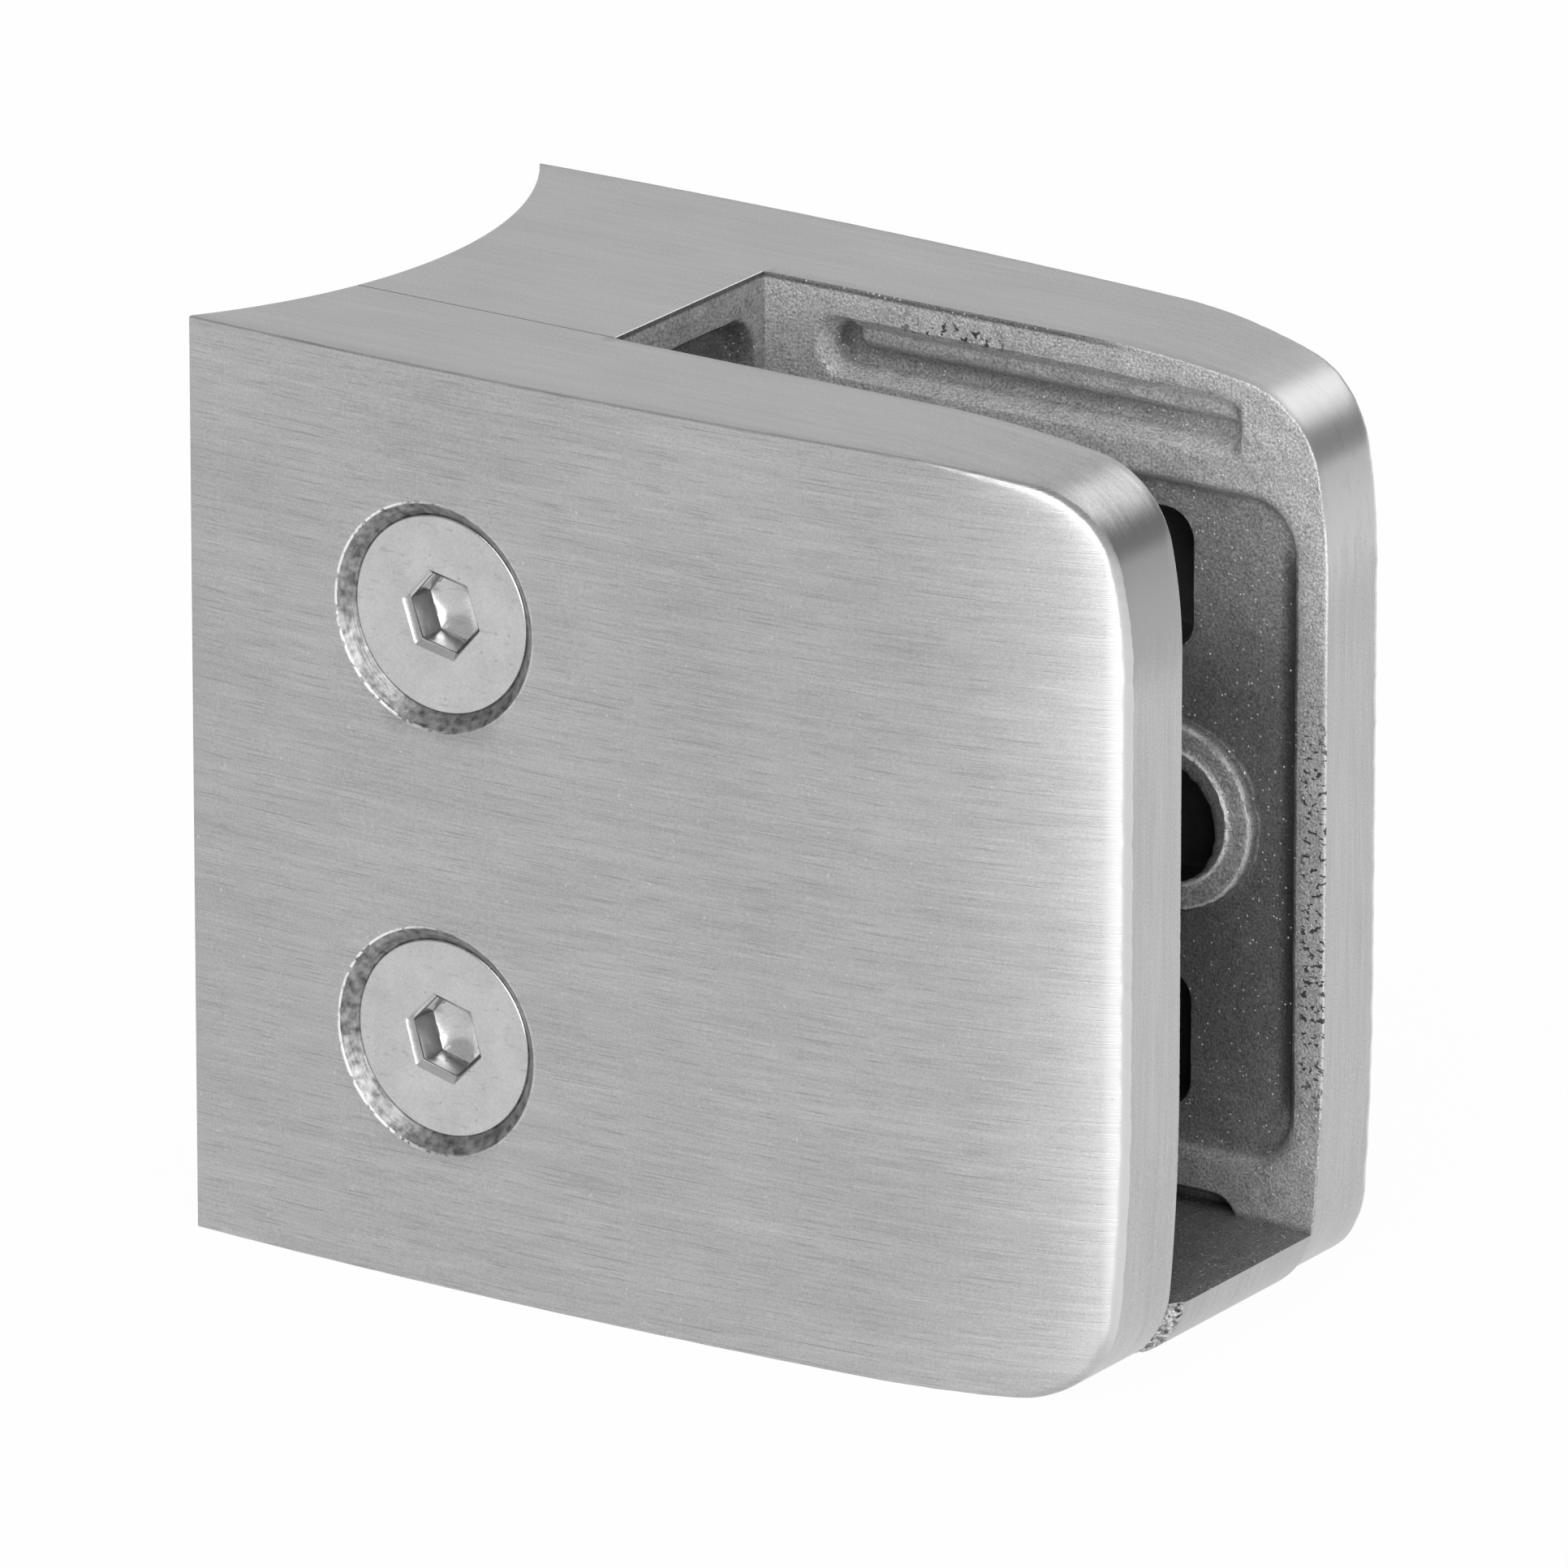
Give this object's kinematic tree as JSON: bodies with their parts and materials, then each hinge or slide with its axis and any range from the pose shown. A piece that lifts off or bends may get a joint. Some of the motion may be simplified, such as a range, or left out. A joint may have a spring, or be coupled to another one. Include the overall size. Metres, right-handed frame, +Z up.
{
  "type": "glass clamp",
  "caption": "Cast steel glass clamp for a round post: saddle back, open slot with a bottom ledge, and a cover held by countersunk socket screws.",
  "frame": {"origin": "on the underside, below the middle of the clamp's length, width and height box", "axes": "+X from the post towards the glass, +Y from the cover towards the cast jaw, +Z up"},
  "size_m": [0.0606, 0.0358, 0.055],
  "materials": {
    "cast_body": "cast steel, brushed outside and shot blasted inside",
    "cast_cover": "cast steel, brushed outside and shot blasted inside",
    "screw": "bright cold-headed steel with fine marks"
  },
  "bodies": {
    "base": {"base_body": "cast_body"},
    "cover": {"cover_plate": "cast_cover"},
    "upper_screw": {"upper_screw": "screw"},
    "lower_screw": {"lower_screw": "screw"}
  },
  "joints": [
    {"name": "cover_lift", "type": "slide", "parent": "base", "child": "cover", "axis": [0, -1, 0], "range_m": [0, 0.007]},
    {"name": "upper_screw_turn", "type": "hinge", "parent": "cover", "child": "upper_screw", "pos_m": [-0.0133, -0.0173, 0.0402], "axis": [0, -1, 0], "range_deg": [0, 2525]},
    {"name": "lower_screw_turn", "type": "hinge", "parent": "cover", "child": "lower_screw", "pos_m": [-0.0133, -0.0173, 0.0148], "axis": [0, -1, 0], "range_deg": [0, 2525]}
  ],
  "couplings": [
    {"joint": "upper_screw_turn", "follows": "cover_lift", "rad_per_m": 6283.2},
    {"joint": "lower_screw_turn", "follows": "cover_lift", "rad_per_m": 6283.2}
  ]
}
